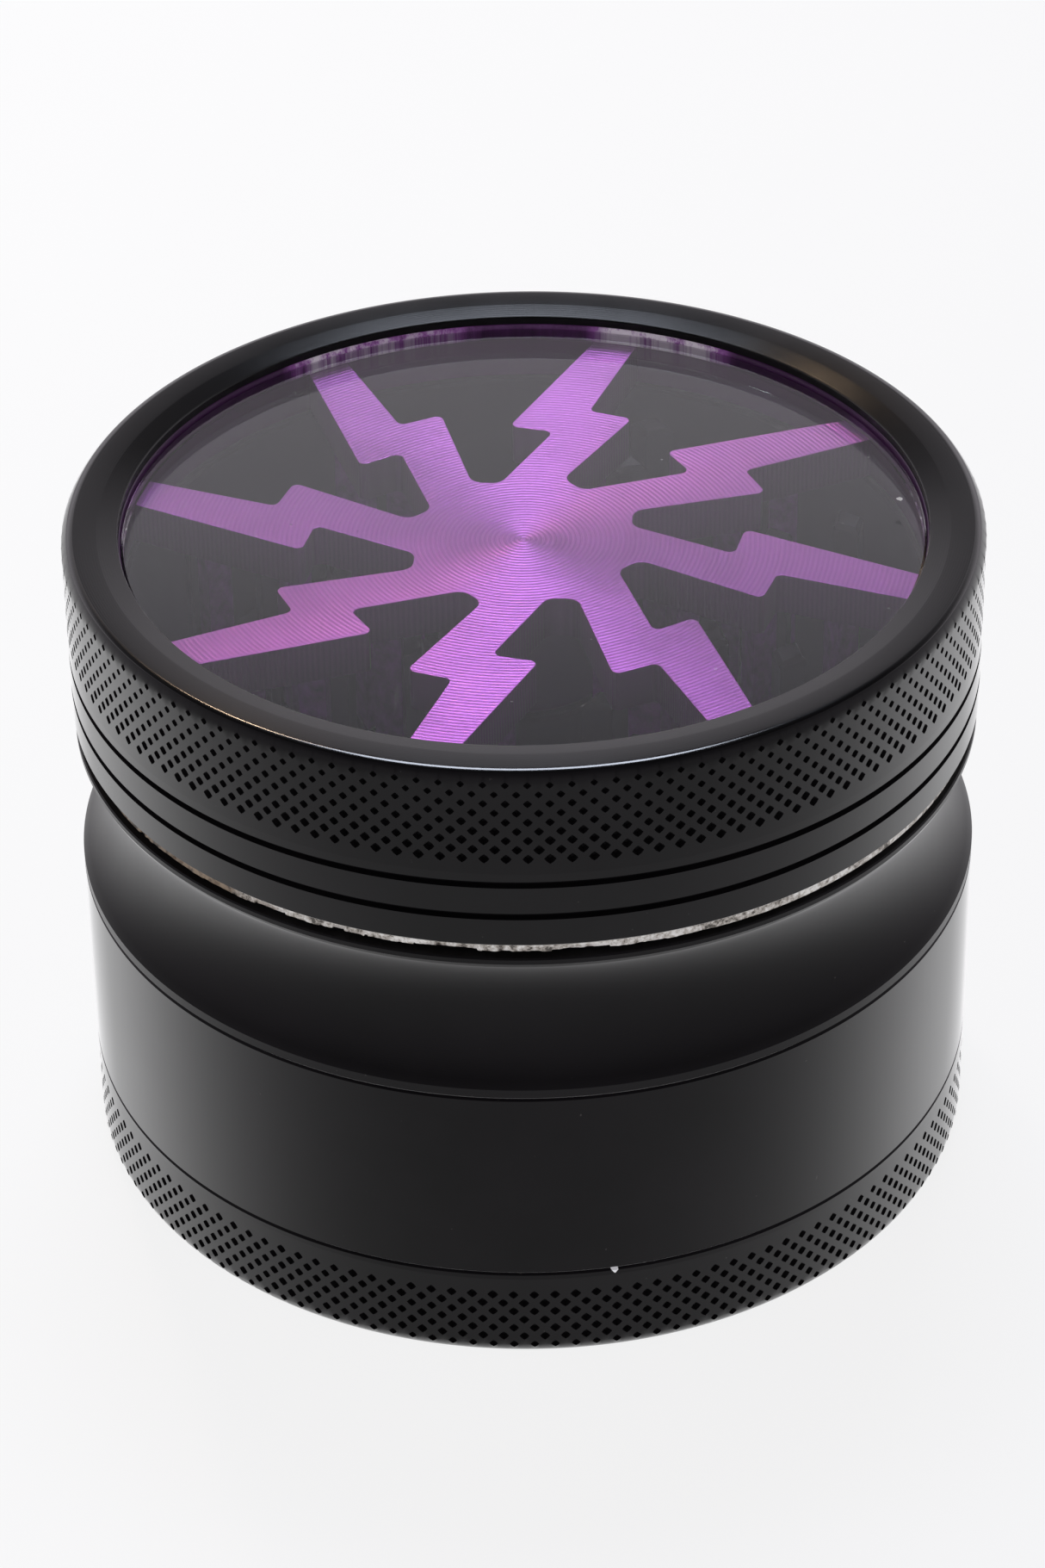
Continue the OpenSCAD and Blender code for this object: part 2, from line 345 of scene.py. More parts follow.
class Nodes:
    """Short way to write a node tree: tree(type, input=value or socket, ...)."""

    def __init__(self, name, world=False):
        self.world = world
        self.material = (bpy.data.worlds if world else bpy.data.materials).new(name)
        self.material.use_nodes = True
        self.tree = self.material.node_tree
        self.tree.nodes.clear()

    def __call__(self, kind, _set=(), **inputs):
        node = self.tree.nodes.new("ShaderNode" + kind)
        for key, value in dict(_set).items():
            setattr(node, key, value)
        for key, value in inputs.items():
            socket = node.inputs[int(key[1:]) if key[0] == "i" and key[1:].isdigit()
                                 else key.replace("_", " ")]
            if isinstance(value, bpy.types.NodeSocket):
                self.tree.links.new(value, socket)
            elif isinstance(value, bpy.types.Node):
                self.tree.links.new(value.outputs[0], socket)
            else:
                socket.default_value = value
        return node

    def math(self, operation, a, b=0.0, clamp=False):
        return self("Math", {"operation": operation, "use_clamp": clamp}, i0=a, i1=b).outputs[0]

    def ramp(self, factor, *stops):
        """Colour ramp; each stop is (position, colour or grey)."""
        node = self("ValToRGB", Fac=factor)
        ends = node.color_ramp.elements
        while len(ends) < len(stops):
            ends.new(0.5)
        for element, (position, colour) in zip(ends, stops):
            element.position = position
            element.color = colour if isinstance(colour, tuple) else (colour,) * 3 + (1,)
        return node.outputs["Color"]

    def noise(self, where, scale, detail=2.0, rough=0.5):
        return self("TexNoise", Vector=where, Scale=scale, Detail=detail,
                    Roughness=rough).outputs["Fac"]

    def output(self, shader):
        self("OutputWorld" if self.world else "OutputMaterial", Surface=shader)
        return self.material


def rgb(r, g, b):
    return (r, g, b, 1.0)


def radius_of(t, where):
    """Distance from the object's axis, in metres."""
    x, y, _ = t("SeparateXYZ", Vector=where).outputs
    return t.math("SQRT", t.math("ADD", t.math("MULTIPLY", x, x), t.math("MULTIPLY", y, y)))


def spot(t, where, centre, radius):
    """1 inside a small ragged spot round a point given in millimetres, 0 outside it."""
    off = t("VectorMath", {"operation": "DISTANCE"}, i0=where,
            i1=tuple(c * MM for c in centre)).outputs["Value"]
    ragged = t.math("MULTIPLY", t.noise(where, 3500.0, 1.0), radius * MM * 1.2)
    return t.math("LESS_THAN", t.math("ADD", off, ragged), radius * MM * 1.6)


def gloss_by_angle(t, head_on, grazing):
    """Specular level of a black anodised wall: low head-on, steeply higher towards its edges."""
    facing = t("LayerWeight", Blend=0.5).outputs["Facing"]
    return t.math("ADD", t.math("MULTIPLY", t.math("POWER", facing, 4.6), grazing), head_on)


def black_anodised(name, roughness=0.34, line_pitch=0.12, line_depth=0.25, across="Z", dust=0.5,
                   base=0.003, anisotropic=0.0, head_on=0.10, grazing=15.0, chip=None):
    """Black anodised aluminium with fine turning lines, cloudy handling marks and a little dust.
    across says what the lines step along: Z on a wall, R on a flat or sloped face."""
    t = Nodes(name)
    where = t("TexCoord").outputs["Object"]
    step = t("SeparateXYZ", Vector=where).outputs["Z"] if across == "Z" else radius_of(t, where)
    wobble = t.math("MULTIPLY", t.noise(where, 60.0), 0.00006)
    lines = t.math("SINE", t.math("MULTIPLY", t.math("ADD", step, wobble),
                                  TAU / (line_pitch * MM)))
    strength = t.math("MULTIPLY", t.noise(where, 140.0, 3.0), line_depth)
    cloud = t.noise(where, 70.0, 4.0, 0.6)
    grain = t.noise(where, 9000.0, 2.0)
    height = t.math("ADD", t.math("MULTIPLY", lines, strength), t.math("MULTIPLY", grain, 0.5))
    bump = t("Bump", Strength=0.35, Distance=0.00001, Height=height)
    rough = t.math("ADD", roughness - 0.07, t.math("MULTIPLY", cloud, 0.14))
    speck = t.ramp(t.noise(where, 2600.0, 1.0), (0.0, 0.0), (0.80, 0.0), (0.84, 1.0))
    cloudy = t.ramp(cloud, (0.3, rgb(base, base * 0.9, base * 1.05)),
                    (0.7, rgb(base * 2.2, base * 1.9, base * 2.3)))
    colour = t("Mix", {"data_type": "RGBA"}, Factor=t.math("MULTIPLY", speck, 0.25 * dust),
               i6=cloudy, i7=rgb(0.30, 0.28, 0.27)).outputs[2]
    if chip:
        colour = t("Mix", {"data_type": "RGBA"}, Factor=spot(t, where, *chip), i6=colour,
                   i7=rgb(0.95, 0.96, 0.97)).outputs[2]
    shader = t("BsdfPrincipled", Base_Color=colour, Roughness=rough, Normal=bump, IOR=1.5,
               Specular_IOR_Level=gloss_by_angle(t, head_on, grazing), Anisotropic=anisotropic,
               Anisotropic_Rotation=0.25,
               Tangent=t("Tangent", {"direction_type": "RADIAL", "axis": "Z"}))
    return t.output(shader)


def purple_anodised():
    """Purple anodised plate, turned on a lathe: concentric grooves and their bow-tie highlight."""
    t = Nodes("purple_anodised")
    where = t("TexCoord").outputs["Object"]
    radius = radius_of(t, where)
    wobble = t.math("MULTIPLY", t.noise(where, 90.0), 0.00004)
    groove = t.math("SINE", t.math("MULTIPLY", t.math("ADD", radius, wobble), TAU / (0.34 * MM)))
    fine = t.math("SINE", t.math("MULTIPLY", radius, TAU / (0.11 * MM)))
    grain = t.noise(where, 7000.0, 2.0)
    height = t.math("ADD", t.math("ADD", groove, t.math("MULTIPLY", fine, 0.35)),
                    t.math("MULTIPLY", grain, 0.9))
    bump = t("Bump", Strength=0.5, Distance=0.000014, Height=height)
    tint = t.math("ADD", t.math("MULTIPLY", t.noise(where, 160.0, 3.0), 0.6),
                  t.math("MULTIPLY", groove, 0.12))
    colour = t.ramp(tint, (0.1, rgb(0.23, 0.065, 0.27)), (0.6, rgb(0.31, 0.09, 0.36)))
    rough = t.math("ADD", 0.3, t.math("MULTIPLY", t.noise(where, 300.0, 3.0), 0.12))
    shader = t("BsdfPrincipled", Base_Color=colour, Metallic=1.0, Roughness=rough, Normal=bump,
               Anisotropic=0.45, Anisotropic_Rotation=0.25,
               Tangent=t("Tangent", {"direction_type": "RADIAL", "axis": "Z"}))
    return t.output(shader)


def tooth_purple():
    """The same purple on the milled teeth, duller and broken up by the cutter's marks."""
    t = Nodes("tooth_purple")
    where = t("TexCoord").outputs["Object"]
    marks = t.noise(where, 900.0, 4.0, 0.7)
    colour = t.ramp(marks, (0.3, rgb(0.16, 0.01, 0.22)), (0.7, rgb(0.42, 0.05, 0.55)))
    bump = t("Bump", Strength=0.6, Distance=0.00004, Height=marks)
    return t.output(t("BsdfPrincipled", Base_Color=colour, Metallic=0.35, Roughness=0.4,
                      Normal=bump))


def window_acrylic():
    """Clear acrylic with dust and hair scratches; lamps shine through it as through a pane."""
    t = Nodes("window_acrylic")
    where = t("TexCoord").outputs["Object"]
    streak = t("Mapping", Vector=where, Rotation=(0, 0, 0.6), Scale=(1, 0.06, 1)).outputs[0]
    scratch = t.ramp(t.noise(streak, 1500.0, 1.0), (0.0, 0.0), (0.80, 0.0), (0.83, 1.0))
    speck = t.ramp(t.noise(where, 1800.0, 1.0), (0.0, 0.0), (0.805, 0.0), (0.83, 1.0))
    marks = t.math("ADD", t.math("MULTIPLY", scratch, 0.05), t.math("MULTIPLY", speck, 0.3),
                   clamp=True)
    bump = t("Bump", Strength=0.05, Distance=0.00002, Height=t.noise(where, 90.0, 2.0))
    glass = t("BsdfPrincipled", Base_Color=rgb(1, 1, 1), Roughness=0.03, IOR=1.49,
              Transmission_Weight=1.0, Normal=bump)
    dust = t("BsdfDiffuse", Color=rgb(0.75, 0.72, 0.7))
    marks = t.math("ADD", marks, spot(t, where, (25.9, 3.0, Z_GLASS), 0.22), clamp=True)
    dirty = t("MixShader", Fac=marks, i1=glass, i2=dust)
    clear = t("BsdfTransparent", Color=rgb(0.93, 0.93, 0.94))
    return t.output(t("MixShader", Fac=t("LightPath").outputs["Is Shadow Ray"], i1=dirty, i2=clear))


def seal_resin():
    """Clear adhesive, coloured with painted reflections: dim purple painted as the plate seen in
    it, and painted highlights in two streaked arcs at the back.
    """
    t = Nodes("seal_resin")
    where = t("TexCoord").outputs["Object"]
    x, y, _ = t("SeparateXYZ", Vector=where).outputs
    turn = t.math("DIVIDE", t.math("ARCTAN2", y, x), math.pi)
    around = t("CombineXYZ", X=t.math("MULTIPLY", turn, 10.0), Y=t.math(
        "MULTIPLY", radius_of(t, where), 300.0), Z=0.0).outputs[0]
    streak = t.ramp(t.noise(around, 7.0, 5.0, 0.75), (0.36, 0.15), (0.47, 0.6), (0.58, 1.0))
    # painted highlights: two arcs at fixed angles round the back, where the lamps show in the
    # window's edge
    painted_highlight_arcs = t.ramp(turn, (0.31, 0.0), (0.34, 0.9), (0.42, 1.0), (0.445, 0.1), (0.53, 0.08),
                   (0.56, 0.5), (0.69, 0.9), (0.715, 0.0))
    # painted reflection: dark to mid purple as the plate seen in the edge, near white in the
    # painted highlight arcs
    colour = t.ramp(t.math("MULTIPLY", streak, painted_highlight_arcs), (0.0, rgb(0.05, 0.012, 0.06)),
                    (0.35, rgb(0.35, 0.12, 0.42)), (0.8, rgb(0.95, 0.88, 0.96)))
    return t.output(t("BsdfPrincipled", Base_Color=colour, Roughness=0.3, IOR=1.4))


def ring_polymer():
    """Ivory polymer whose cut edge is torn, with dark grit in it and brown stains on the left."""
    t = Nodes("ring_polymer")
    where = t("TexCoord").outputs["Object"]
    x, _, _ = t("SeparateXYZ", Vector=where).outputs
    grit = t.noise(where, 1900.0, 3.0, 0.7)
    stain = t.noise(where, 330.0, 4.0, 0.6)
    colour = t.ramp(t.math("ADD", t.math("MULTIPLY", grit, 0.7), t.math("MULTIPLY", stain, 0.35)),
                    (0.42, rgb(0.07, 0.06, 0.05)), (0.49, rgb(0.40, 0.37, 0.33)),
                    (0.62, rgb(0.78, 0.77, 0.74)))
    left = t.ramp(t.math("ADD", t.math("MULTIPLY", x, -40.0), t.math("MULTIPLY", stain, 0.4)),
                  (0.85, 0.0), (1.3, 1.0))
    colour = t("Mix", {"data_type": "RGBA", "blend_type": "MULTIPLY"}, Factor=left, i6=colour,
               i7=rgb(0.30, 0.22, 0.15)).outputs[2]
    bump = t("Bump", Strength=0.8, Distance=0.00006, Height=grit)
    return t.output(t("BsdfPrincipled", Base_Color=colour, Roughness=0.5, Normal=bump))


def bright_metal(name, colour, roughness):
    """Bare turned metal: steel wire, turned steel or nickel."""
    t = Nodes(name)
    where = t("TexCoord").outputs["Object"]
    line_pitch = 0.1
    lines = t.math("SINE", t.math("MULTIPLY", radius_of(t, where), TAU / (line_pitch * MM)))
    height = t.math("ADD", lines, t.noise(where, 6000.0, 2.0))
    bump = t("Bump", Strength=0.3, Distance=0.000008, Height=height)
    rough = t.math("ADD", roughness, t.math("MULTIPLY", t.noise(where, 400.0, 3.0), 0.12))
    shader = t("BsdfPrincipled", Base_Color=rgb(*colour), Metallic=1.0, Roughness=rough,
               Normal=bump)
    return t.output(shader)


SATIN = black_anodised("black_satin")
SATIN_CUP = black_anodised("black_satin_cup", chip=((5.45, -31.0, 7.25), 0.28))
SATIN_COVE = black_anodised("black_satin_cove", roughness=0.5, head_on=0.14, grazing=8.0)
SATIN_LID = black_anodised("black_satin_lid", head_on=0.17)
KNURL = black_anodised("black_knurl", roughness=0.38, line_depth=0.1, head_on=0.15)
# painted shade in the knurl's pits: a darker base and far weaker gloss than the knurl round them;
# the higher roughness is the pits' own
PIT = black_anodised("black_pit", roughness=0.6, line_depth=0.0, base=0.002, dust=0.3,
                     head_on=0.05, grazing=0.6)
POLISHED = black_anodised("black_polished", roughness=0.2, line_pitch=0.17, line_depth=0.5,
                          across="R", dust=0.1, base=0.001, anisotropic=0.8, head_on=0.35,
                          grazing=1.5)
BEAD = black_anodised("black_bead", roughness=0.15, line_depth=0.1, across="R", dust=0.1,
                      base=0.001, head_on=0.9, grazing=3.0)
INSIDE = black_anodised("black_inside", roughness=0.4, across="R", dust=0.6, head_on=0.2,
                        grazing=2.0)
PURPLE = purple_anodised()
WINDOW = window_acrylic()
SEAL = seal_resin()
POLYMER = ring_polymer()
WIRE = bright_metal("steel_wire", (0.62, 0.61, 0.58), 0.3)
TOOTH = tooth_purple()
STEEL = bright_metal("turned_steel", (0.56, 0.56, 0.55), 0.28)
NICKEL = bright_metal("nickel", (0.66, 0.65, 0.63), 0.15)


# ---------------------------------------------------------------- the pieces

def build_base_cup():
    """Knurled cup with a rounded foot, the chamber's thread inside and a dished floor."""
    s = Solid()
    foot = 1.0
    wall = lambda z: R if z >= foot else R - foot + math.sqrt(foot ** 2 - (foot - z) ** 2)
    levels = [1.0 + 0.7325 * j for j in range(7)]
    low, high = knurl(s, levels, [0.85] + [1.0] * 6, wall, mat=1, pit_mat=2)
    mouth = THREAD_BORE + 0.3
    s.turn([(R, Z_CUP - 0.5, 1), (R, Z_CUP - EDGE), (R - EDGE, Z_CUP), (mouth, Z_CUP)]
           + inside_thread(Z_CUP)
           + [(THREAD_BORE, Z_CUP - SPIGOT_H - 0.2), (SPIGOT_R - 1, Z_CUP - SPIGOT_H - 0.2, 3)]
           + [(r, z, 3) for r, z in arc(SPIGOT_R - 2, 2.6, 1, 0, -90)] + [(0, 1.6, 3)],
           start=high)
    start = math.degrees(math.asin(2 * levels[0] - levels[1] - foot))
    s.turn(arc(R - foot, foot, foot, start, -90)[1:] + [(0, 0)], start=low)
    s.build("base_cup", "cup", [SATIN_CUP, KNURL, PIT, INSIDE], ["base_cup"])


def build_screen_chamber():
    s = Solid()
    s.turn([(R - EDGE, Z_CUP), (R, Z_CUP + EDGE), (R, Z_CUP + 1), (R, Z_SCREEN - 1),
            (R, Z_SCREEN - EDGE), (R - EDGE, Z_SCREEN), (THREAD_BORE + 0.3, Z_SCREEN)]
           + inside_thread(Z_SCREEN)
           + [(THREAD_BORE, Z_SCREEN - SPIGOT_H - 0.2), (SCREEN_WALL, Z_SCREEN - SPIGOT_H - 0.2, 1),
              (SCREEN_WALL, Z_CUP + 1, 1), (SCREEN_WALL - 0.5, Z_CUP + 0.5, 1),
              (SCREEN_BORE, Z_CUP + 0.5, 1), (SCREEN_BORE, Z_LEDGE, 1), (SPIGOT_BORE, Z_LEDGE, 1),
              (SPIGOT_BORE, Z_SPIGOT, 1), (SPIGOT_R - 0.2, Z_SPIGOT)]
           + outside_thread(Z_CUP)[::-1] + [(SPIGOT_R, Z_CUP)], closed=True)
    s.build("screen_chamber", "screen_part", [SATIN, INSIDE], ["screen_chamber"])


def build_screen():
    """Woven wire screen: two sets of waved wires, each cut to the round frame."""
    pitch, wire = 1.0, 0.11
    s = Solid()
    middle = (Z_MESH + Z_LEDGE) / 2
    reach = MESH_R - 0.15
    count = int(reach / pitch)
    for turned in (0, 1):
        for i in range(-count, count + 1):
            across = i * pitch
            half = math.sqrt(reach ** 2 - across ** 2)
            along = np.linspace(-half, half, max(3, int(4 * half / pitch)))
            lift = 0.055 * np.cos(math.pi * (along / pitch + i + turned))
            rings = []
            for a, z in zip(along, lift):
                ring = []
                for k in range(5):
                    c = across + wire / 2 * math.cos(TAU * k / 5)
                    point = (c, a) if turned else (a, c)
                    ring.append((*point, middle + z + wire / 2 * math.sin(TAU * k / 5)))
                rings.append(s.add(ring))
            for a, b in zip(rings, rings[1:]):
                s.bridge(a, b)
            s.face(rings[0])
            s.face(rings[-1])
    s.build("screen_mesh", "screen_part", [WIRE], ["screen_mesh"], sharp=80)


def bevelled_ring(outer, inner, z0, z1, bevel=0.1):
    return [(inner + bevel, z0), (outer - bevel, z0), (outer, z0 + bevel), (outer, z1 - bevel),
            (outer - bevel, z1), (inner + bevel, z1), (inner, z1 - bevel), (inner, z0 + bevel)]


def build_retaining_ring():
    s = Solid()
    s.turn(bevelled_ring(MESH_R, SCREEN_BORE, Z_MESH - 1, Z_MESH), closed=True)
    s.build("screen_retaining_ring", "screen_thread", [STEEL], ["screen_retaining_ring"])


def build_grinding_chamber():
    """Coved cup with its floor of holes, lower teeth and magnet post."""
    s = Solid()
    cove_h = Z_COLLAR - Z_SCREEN - LIP_H - COLLAR_H
    cove_r = (cove_h ** 2 / 4 + COVE_DEPTH ** 2) / (2 * COVE_DEPTH)
    half = math.degrees(math.asin(cove_h / 2 / cove_r))
    cove = arc(R - COVE_DEPTH + cove_r, Z_SCREEN + LIP_H + cove_h / 2, cove_r,
               180 + half, 180 - half, 40)
    s.turn([(SPIGOT_R, Z_SCREEN), (R - EDGE, Z_SCREEN), (R, Z_SCREEN + EDGE),
            (R, Z_SCREEN + LIP_H - 0.06)]
           + [(r, z) for r, z in cove[1:-1]]
           + [(R - 0.14, Z_COLLAR - COLLAR_H), (R - 0.1, Z_COLLAR - COLLAR_H + 0.05),
              (R - 0.1, Z_COLLAR - 0.1), (R - 0.2, Z_COLLAR), (R - 1.1, Z_COLLAR),
              (R - 1.1, Z_RING), (GUIDE_R, Z_RING), (GUIDE_R, Z_GUIDE - 0.2),
              (GUIDE_R - 0.2, Z_GUIDE), (CHAMBER_R + 0.2, Z_GUIDE), (CHAMBER_R, Z_GUIDE - 0.2, 1),
              (CHAMBER_R, Z_FLOOR - 0.3, 1), (SPIGOT_BORE, Z_BED + 0.3, 1),
              (SPIGOT_BORE, Z_SCREEN - SPIGOT_H, 1), (SPIGOT_R - 0.2, Z_SCREEN - SPIGOT_H)]
           + outside_thread(Z_SCREEN)[::-1], closed=True)
    holes = [circle(1.55, *polar(FIRST_RING + step * RING_STEP, 360 * (i + 0.5) / count), n=28)
             for step, count in ((1, 8), (3, 16), (5, 16)) for i in range(count)]
    s.take(flat_plate(circle(CHAMBER_R + 0.03), holes, Z_BED, Z_FLOOR, bevel=0.08), 1)
    for step, count in ((0, 4), (2, 8), (4, 8), (6, 8)):
        for i in range(count):
            s.prism(tooth_outline(FIRST_RING + step * RING_STEP, 360 * (i + 0.5) / count),
                    Z_FLOOR - 0.1, Z_UNDER - 1.6, tip=0.4, mat=1)
    s.turn([(POST_R, Z_FLOOR - 0.1, 1), (POST_R, Z_POST - 0.2, 1), (POST_R - 0.2, Z_POST, 1),
            (MAGNET_R + 0.15, Z_POST, 1), (MAGNET_R + 0.05, Z_POST - 0.1, 1),
            (MAGNET_R + 0.05, Z_POST - 2, 1), (0, Z_POST - 2, 1)], mat=1, n=96)
    s.build("grinding_chamber", "grinding_part", [SATIN_COVE, INSIDE],
            ["grinding_chamber"])


def build_magnets():
    for name, body in (("chamber_magnet", "grinding_thread"), ("lid_magnet", "lid")):
        r, z0, z1 = span(name)
        s = Solid()
        s.turn([(0, z0), (r - 0.15, z0), (r, z0 + 0.15), (r, z1 - 0.15), (r - 0.15, z1), (0, z1)],
               n=96)
        s.build(name, body, [NICKEL], [name])


def build_friction_ring():
    """L-section ring. Its cut edge is torn from the left round to the front, clean elsewhere."""
    s = Solid()
    n = 9 * STEPS
    flange = Z_LID - 0.05
    from_front = np.degrees((np.arange(n) * TAU / n + TAU / 4 + math.pi) % TAU - math.pi)
    torn = np.interp(from_front, [-110, -90, 8, 30], [0, 1, 1, 0])
    lift = np.interp(from_front, [-150, -75, -45, 0, 30, 80, 150],
                     [0.2, 0.12, -0.03, -0.08, -0.05, 0.1, 0.2])

    def patches(size):
        """Random steps round the ring, each size points long on average, softened at the ends."""
        ends = np.sort(rng.integers(0, n, n // size))
        values = rng.uniform(0, 1, len(ends) + 1)[np.searchsorted(ends, np.arange(n))]
        return np.convolve(np.pad(values, 1, "wrap"), [0.25, 0.5, 0.25], "valid")

    ragged = 0.10 * patches(5) + 0.14 * (patches(14) > 0.75) + 0.08 * patches(30)
    low = Z_RING + lift + torn * ragged
    dent = torn * 0.12 * patches(4)
    s.turn([(GUIDE_R + 0.05, Z_RING), (RING_R - 0.9, Z_RING), (RING_R - 0.2, low),
            (RING_R - 0.03 - dent, low + 0.02), (RING_R - dent[::-1] * 0.7, low + 0.09),
            (RING_R - dent, (low + flange) / 2), (RING_R, flange - 0.04),
            (RING_R - 0.1, flange), (SKIRT_R - 0.05, flange), (SKIRT_R - 0.05, flange + 2.9),
            (SKIRT_R - 0.15, flange + 3), (GUIDE_R + 0.15, flange + 3),
            (GUIDE_R + 0.05, flange + 2.9)], closed=True, n=n)
    s.build("friction_ring", "lid_carrier", [POLYMER], ["friction_ring"], sharp=50)


def build_lid_ring():
    """Lid ring: bevelled skirt, two grooves, knurling, polished bead and two sloped steps."""
    s = Solid()
    bead = 0.8
    wall = lambda z: R if z <= Z_TOP - bead else (
        R - bead + math.sqrt(bead ** 2 - (z - Z_TOP + bead) ** 2))
    step = 0.712
    levels = [Z_TOP - 6.54 + step * j for j in range(9)]
    low, high = knurl(s, levels, list(np.linspace(1.06, 0.72, 9)), wall, mat=1, pit_mat=2)
    start = math.degrees(math.asin((levels[-1] + step - Z_TOP + bead) / bead))
    rim = [(r, z, 5) for r, z in arc(R - bead, Z_TOP - bead, bead, start, 90, 14)[1:]]
    bore = WINDOW_BORE
    s.turn(rim + [(R - 1.2, Z_TOP - 0.02, 3), (R - 2.36, Z_TOP - 0.065, 3),
                  (R - 2.46, Z_TOP - 0.08, 3), (bore + 0.07, Z_TOP - 0.34, 3),
                  (bore, Z_TOP - 0.42, 3), (bore, Z_PLATE, 4), (SKIRT_R, Z_PLATE, 4),
                  (SKIRT_R, Z_LID + 0.2, 4)], start=high)
    grooves = []
    for z in (Z_LID + height for height in GROOVES):
        grooves += [(R, z + 0.25), (R - 0.12, z + 0.2, 2), (R - 0.35, z + 0.1, 2),
                    (R - 0.35, z - 0.1, 2), (R - 0.12, z - 0.2, 2), (R, z - 0.25, 2)]
    s.turn([(R, levels[0] - 1.2, 1)] + grooves
           + [(R, Z_LID + 0.18), (R - 0.18, Z_LID), (SKIRT_R + 0.2, Z_LID), (SKIRT_R, Z_LID + 0.2)],
           start=low)
    s.build("lid_ring", "lid", [SATIN_LID, KNURL, PIT, POLISHED, INSIDE, BEAD],
            ["lid_ring"])


def build_window():
    """Clear disc, the adhesive on its edge and the bead of adhesive standing up round it."""
    s = Solid()
    soft = 0.12
    low = Z_PLATE + 0.03  # just clear of the plate, so the two faces don't flicker
    s.turn([(0, low), (WINDOW_R - soft, low), (WINDOW_R, low + soft),
            (WINDOW_R, Z_GLASS - soft, 1), (WINDOW_R - soft, Z_GLASS), (0, Z_GLASS)])
    s.build("lid_window", "lid", [WINDOW, SEAL], ["lid_window"])
    s = Solid()
    outer, inner = WINDOW_BORE - 0.03, WINDOW_R + 0.03
    s.turn([(outer, Z_PLATE), (outer, Z_SEAL), (inner + 0.08, Z_SEAL - 0.05),
            (inner, Z_GLASS - 0.05), (inner, Z_PLATE)], closed=True)
    s.build("window_seal", "lid", [SEAL], ["window_seal"])


def build_tooth_plate():
    """Zigzag-armed plate, its outer ring, magnet boss and upper teeth."""
    s = Solid()
    right = meets_circle(polar(17.8, 43.2), polar(R - 2, 41), WINDOW_BORE)
    left = meets_circle(polar(15.2, 17.5), polar(R - 2, 1.7), WINDOW_BORE)
    rim = [(WINDOW_BORE, right + (left - right) * i / 12, 0) for i in range(13)]
    gap = rounded([(7.6, 26, 1), (8.4, 39, 1), (17.8, 32.8, 0.5), (17.8, 43.2, 0.5), *rim,
                   (15.2, 17.5, 0.5), (14.5, 5.3, 0.5)])
    gaps = []
    for i in range(ARMS):
        a = math.radians(ARM_ANGLE + 360 * i / ARMS)
        gaps.append([(x * math.cos(a) - y * math.sin(a), x * math.sin(a) + y * math.cos(a))
                     for x, y in gap])
    s.take(flat_plate(circle(PLATE_R), gaps, Z_UNDER, Z_PLATE, bevel=0.05))
    s.turn([(POST_R, Z_UNDER + 0.1), (POST_R, Z_BOSS + 0.2), (POST_R - 0.2, Z_BOSS),
            (MAGNET_R + 0.15, Z_BOSS), (MAGNET_R + 0.05, Z_BOSS + 0.1),
            (MAGNET_R + 0.05, Z_BOSS + 2), (0, Z_BOSS + 2)], n=96)
    for step, offset in ((1, 1.5), (3, -1), (5, 2.2)):  # angles from the arm's own
        for i in range(ARMS):
            s.prism(tooth_outline(FIRST_RING + step * RING_STEP,
                                  ARM_ANGLE + offset + 360 * i / ARMS),
                    Z_UNDER + 0.1, Z_FLOOR + 1, tip=0.4, mat=1)
    s.build("tooth_plate", "lid", [PURPLE, TOOTH], ["tooth_plate"], sharp=20)


build_base_cup()
build_screen_chamber()
build_screen()
build_retaining_ring()
build_grinding_chamber()
build_magnets()
build_friction_ring()
build_lid_ring()
build_window()
build_tooth_plate()


# ---------------------------------------------------------------- studio and camera

def area_light(name, position, target, size, power, colour=(1, 1, 1)):
    light = bpy.data.lights.new(name, "AREA")
    light.shape, light.size, light.size_y = "RECTANGLE", *size
    light.energy, light.color = power, colour
    obj = bpy.data.objects.new(name, light)
    obj.location = position
    obj.rotation_euler = (Vector(target) - Vector(position)).to_track_quat("-Z", "Y").to_euler()
    bpy.context.scene.collection.objects.link(obj)
    return obj


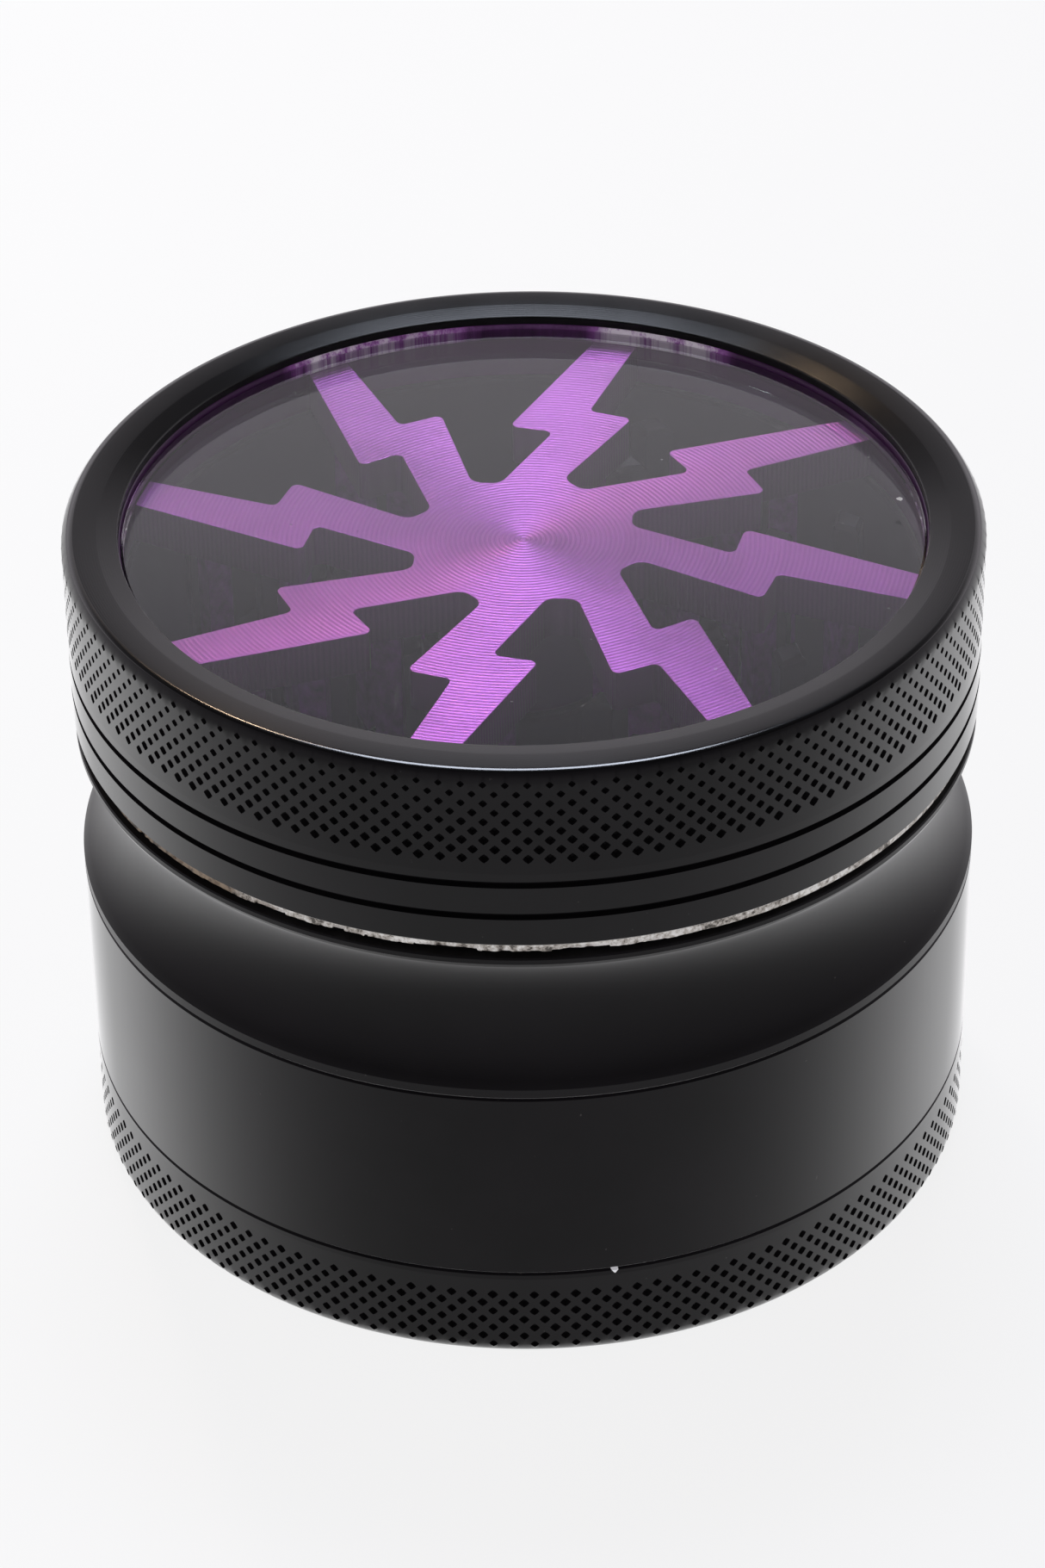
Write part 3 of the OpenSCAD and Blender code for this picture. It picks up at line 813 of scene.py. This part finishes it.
def build_floor():
    """White light table, big enough for every view, with painted shade making it slightly darker
    towards the right.
    """
    mesh = bpy.data.meshes.new("floor")
    mesh.from_pydata([(-6, -6, 0), (6, -6, 0), (6, 6, 0), (-6, 6, 0)], [], [(0, 1, 2, 3)])
    t = Nodes("paper")
    where = t("TexCoord").outputs["Object"]
    x, _, _ = t("SeparateXYZ", Vector=where).outputs
    # painted shade: base colour and glow fall off towards the right, with a little random tone in
    # the paper
    side = t.math("ADD", t.math("MULTIPLY", x, 4.0), 0.5)
    shade_and_tone = t.math("ADD", side, t.math("MULTIPLY", t.noise(where, 40.0, 3.0), 0.1))
    colour = t.ramp(shade_and_tone, (0.0, rgb(0.16, 0.16, 0.158)), (1.0, rgb(0.14, 0.14, 0.14)))
    shade = t.ramp(shade_and_tone, (0.0, rgb(1, 1, 1)), (1.0, rgb(0.94, 0.94, 0.945)))
    mesh.materials.append(t.output(t("BsdfPrincipled", Base_Color=colour, Roughness=0.9,
                                     Emission_Color=shade, Emission_Strength=0.87)))
    floor = bpy.data.objects.new("floor", mesh)
    bpy.context.scene.collection.objects.link(floor)


def build_world():
    """Room: pale walls, brightest some way up, under a dark ceiling."""
    t = Nodes("room", world=True)
    _, _, z = t("SeparateXYZ", Vector=t("TexCoord").outputs["Generated"]).outputs
    glow = t.ramp(z, (0.0, 0.65), (0.22, 0.7), (0.33, 1.0), (0.41, 0.9), (0.52, 0.6),
                  (0.56, 0.28), (0.62, 0.12), (0.74, 0.03))
    bpy.context.scene.world = t.output(t("Background", Color=rgb(1, 0.95, 1.02), Strength=glow))


def build_camera():
    """Long lens at the photograph's distance and tilt, leaning a little to the left."""
    data = bpy.data.cameras.new("camera")
    camera = bpy.data.objects.new("camera", data)
    bpy.context.scene.collection.objects.link(camera)
    distance, tilt, lean = 0.344, math.radians(34.75), math.radians(0.838)
    middle = 0.025745
    camera.location = (0, -distance * math.cos(tilt), middle + distance * math.sin(tilt))
    look = Vector((-0.00033, 0, middle)) - camera.location
    turn = look.to_track_quat("-Z", "Y") @ Quaternion((0, 0, 1), -lean)
    camera.rotation_euler = turn.to_euler()
    data.sensor_width, data.lens = 36, 111.58
    data.clip_start, data.clip_end = 0.01, 20
    bpy.context.scene.camera = camera


def lamp_at(name, azimuth, elevation, size, power, colour=(1, 1, 1), distance=0.9):
    """Softbox aimed at the lid; azimuth counts from straight behind, positive to the right."""
    a, e = math.radians(azimuth), math.radians(elevation)
    aim = Vector((0, 0, 0.045))
    spot_at = aim + distance * Vector((math.sin(a) * math.cos(e), math.cos(a) * math.cos(e),
                                       math.sin(e)))
    area_light(name, spot_at, aim, size, power, colour)


build_floor()
build_world()
lamp_at("key_softbox", -1, 62, (0.34, 0.30), 3.3, (0.80, 0.86, 1))
lamp_at("warm_lamp", -18.5, 48.5, (0.06, 0.06), 0.6, (1, 0.72, 0.48))
build_camera()
bpy.context.scene.view_settings.view_transform = "Standard"
